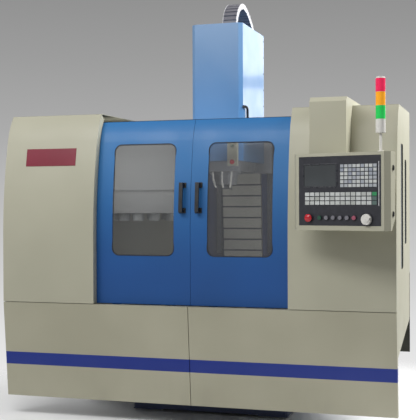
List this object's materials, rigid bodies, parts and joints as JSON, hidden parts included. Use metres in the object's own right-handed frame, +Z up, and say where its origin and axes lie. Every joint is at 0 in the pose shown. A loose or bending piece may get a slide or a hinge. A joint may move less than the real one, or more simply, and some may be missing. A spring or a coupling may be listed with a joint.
{
  "type": "cnc milling machine",
  "caption": "Vertical machining centre: sliding door enclosure, column and spindle head, cross table, tool magazine, operator pendant on an arm and signal light.",
  "frame": {"origin": "on the floor, under the middle of the machine's bounding box", "axes": "+X to the operator's right, +Y to the rear, the front and its doors face -Y, +Z up"},
  "size_m": [2.6265, 2.5194, 2.8385],
  "materials": {
    "painted_beige": "textured enamel",
    "painted_blue": "smooth enamel",
    "painted_navy": "enamel on a casting",
    "painted_grey": "satin enamel",
    "galvanised": "galvanised sheet",
    "ground_steel": "ground",
    "cast_iron": "machined",
    "black_plastic": "fine grain",
    "panel_black": "printed foil",
    "grey_keys": "embossed foil",
    "grey_plastic": "moulded, satin",
    "white_plastic": "smooth",
    "red_plastic": "smooth",
    "amber_plastic": "ribbed lens",
    "green_plastic": "ribbed lens",
    "pink_plastic": "smooth",
    "smoked_glass": "smoked",
    "dark_glass": "screen",
    "maroon_plate": "anodised plate"
  },
  "bodies": {
    "machine_frame": {"base_casting": "painted_navy", "levelling_feet": "ground_steel", "column": "painted_navy", "guide_rails": "ground_steel", "axis_motors": "black_plastic", "chip_tray": "galvanised", "coolant_tank": "painted_beige", "left_front_panel": "painted_beige", "right_front_panel": "painted_beige", "lower_left_panel": "painted_beige", "lower_right_panel": "painted_beige", "door_rails": "black_plastic", "left_side_wall": "painted_beige", "right_side_wall": "painted_beige", "rear_walls": "painted_beige", "roof_panels": "painted_beige", "name_plate": "maroon_plate", "pendant_arm": "painted_beige", "electrical_cabinet": "painted_beige", "magazine_frame": "painted_grey", "work_light": "white_plastic"},
    "y_screw": {"y_ball_screw": "ground_steel"},
    "z_screw": {"z_ball_screw": "ground_steel"},
    "saddle": {"saddle": "painted_navy", "x_rails": "ground_steel", "x_motor": "black_plastic"},
    "x_screw": {"x_ball_screw": "ground_steel"},
    "table": {"table": "cast_iron"},
    "spindle_head": {"headstock": "painted_navy", "head_cover": "painted_blue", "spindle_motor": "black_plastic", "drag_chain": "grey_plastic", "head_switch_box": "painted_beige"},
    "spindle": {"spindle": "ground_steel"},
    "left_door": {"left_door": "painted_blue", "left_window": "smoked_glass", "left_handle": "black_plastic"},
    "right_door": {"right_door": "painted_blue", "right_window": "smoked_glass", "right_handle": "black_plastic"},
    "magazine_carriage": {"magazine_carriage": "painted_grey"},
    "tool_drum": {"tool_drum": "painted_grey"},
    "pendant": {"pendant_housing": "painted_beige", "control_panel": "panel_black", "display_screen": "dark_glass", "panel_keys": "grey_keys", "beacon_mast": "white_plastic", "red_lens": "red_plastic", "amber_lens": "amber_plastic", "green_lens": "green_plastic"},
    "emergency_stop": {"emergency_stop": "red_plastic"},
    "handwheel": {"handwheel": "white_plastic"},
    "cabinet_door": {"cabinet_door": "painted_beige"},
    "main_switch": {"main_switch": "black_plastic"},
    "push_button_1": {"push_button_1": "green_plastic"},
    "push_button_2": {"push_button_2": "grey_plastic"},
    "push_button_3": {"push_button_3": "grey_plastic"},
    "push_button_4": {"push_button_4": "grey_plastic"},
    "push_button_5": {"push_button_5": "grey_plastic"},
    "push_button_6": {"push_button_6": "pink_plastic"}
  },
  "joints": [
    {"name": "left_door_slide", "type": "slide", "parent": "machine_frame", "child": "left_door", "axis": [-1, 0, 0], "range_m": [0, 0.56]},
    {"name": "right_door_slide", "type": "slide", "parent": "machine_frame", "child": "right_door", "axis": [1, 0, 0], "range_m": [0, 0.56]},
    {"name": "saddle_travel", "type": "slide", "parent": "machine_frame", "child": "saddle", "axis": [0, 1, 0], "range_m": [-0.25, 0.25]},
    {"name": "table_travel", "type": "slide", "parent": "saddle", "child": "table", "axis": [1, 0, 0], "range_m": [-0.4, 0.4]},
    {"name": "head_travel", "type": "slide", "parent": "machine_frame", "child": "spindle_head", "axis": [0, 0, 1], "range_m": [-0.5, 0]},
    {"name": "spindle_spin", "type": "hinge", "parent": "spindle_head", "child": "spindle", "pos_m": [0, 0, 1.6], "axis": [0, 0, 1], "continuous": true},
    {"name": "y_screw_spin", "type": "hinge", "parent": "machine_frame", "child": "y_screw", "pos_m": [0, 0, 0.47], "axis": [0, 1, 0], "range_deg": [-5700, 5700]},
    {"name": "x_screw_spin", "type": "hinge", "parent": "saddle", "child": "x_screw", "pos_m": [0, 0, 0.69], "axis": [1, 0, 0], "range_deg": [-9100, 9100]},
    {"name": "z_screw_spin", "type": "hinge", "parent": "machine_frame", "child": "z_screw", "pos_m": [0, 0.57, 1.5], "axis": [0, 0, 1], "range_deg": [-11400, 100]},
    {"name": "magazine_travel", "type": "slide", "parent": "machine_frame", "child": "magazine_carriage", "axis": [1, 0, 0], "range_m": [0, 0.27]},
    {"name": "drum_spin", "type": "hinge", "parent": "magazine_carriage", "child": "tool_drum", "pos_m": [-0.56, 0, 1.45], "axis": [0, 0, 1], "continuous": true},
    {"name": "pendant_swivel", "type": "hinge", "parent": "machine_frame", "child": "pendant", "pos_m": [0.9303, -1.0053, 1.56], "axis": [0, 0, 1], "range_deg": [-10, 32]},
    {"name": "emergency_stop_push", "type": "slide", "parent": "pendant", "child": "emergency_stop", "axis": [0.2924, 0.9563, 0], "range_m": [0, 0.006]},
    {"name": "handwheel_spin", "type": "hinge", "parent": "pendant", "child": "handwheel", "pos_m": [1.1764, -1.20587, 1.326], "axis": [-0.2924, -0.9563, 0], "continuous": true},
    {"name": "cabinet_door_hinge", "type": "hinge", "parent": "machine_frame", "child": "cabinet_door", "pos_m": [-0.439, 1.2094, 1.2], "axis": [0, 0, 1], "range_deg": [0, 110]},
    {"name": "main_switch_turn", "type": "hinge", "parent": "cabinet_door", "child": "main_switch", "pos_m": [0.33, 1.2244, 1.6], "axis": [0, 1, 0], "range_deg": [0, 90]},
    {"name": "push_button_1_press", "type": "slide", "parent": "pendant", "child": "push_button_1", "axis": [0.2924, 0.9563, 0], "range_m": [0, 0.004], "stiffness_N_per_m": 400},
    {"name": "push_button_2_press", "type": "slide", "parent": "pendant", "child": "push_button_2", "axis": [0.2924, 0.9563, 0], "range_m": [0, 0.004], "stiffness_N_per_m": 400},
    {"name": "push_button_3_press", "type": "slide", "parent": "pendant", "child": "push_button_3", "axis": [0.2924, 0.9563, 0], "range_m": [0, 0.004], "stiffness_N_per_m": 400},
    {"name": "push_button_4_press", "type": "slide", "parent": "pendant", "child": "push_button_4", "axis": [0.2924, 0.9563, 0], "range_m": [0, 0.004], "stiffness_N_per_m": 400},
    {"name": "push_button_5_press", "type": "slide", "parent": "pendant", "child": "push_button_5", "axis": [0.2924, 0.9563, 0], "range_m": [0, 0.004], "stiffness_N_per_m": 400},
    {"name": "push_button_6_press", "type": "slide", "parent": "pendant", "child": "push_button_6", "axis": [0.2924, 0.9563, 0], "range_m": [0, 0.004], "stiffness_N_per_m": 400}
  ],
  "couplings": [
    {"joint": "y_screw_spin", "follows": "saddle_travel", "rad_per_m": 392.7},
    {"joint": "x_screw_spin", "follows": "table_travel", "rad_per_m": 392.7},
    {"joint": "z_screw_spin", "follows": "head_travel", "rad_per_m": 392.7}
  ]
}
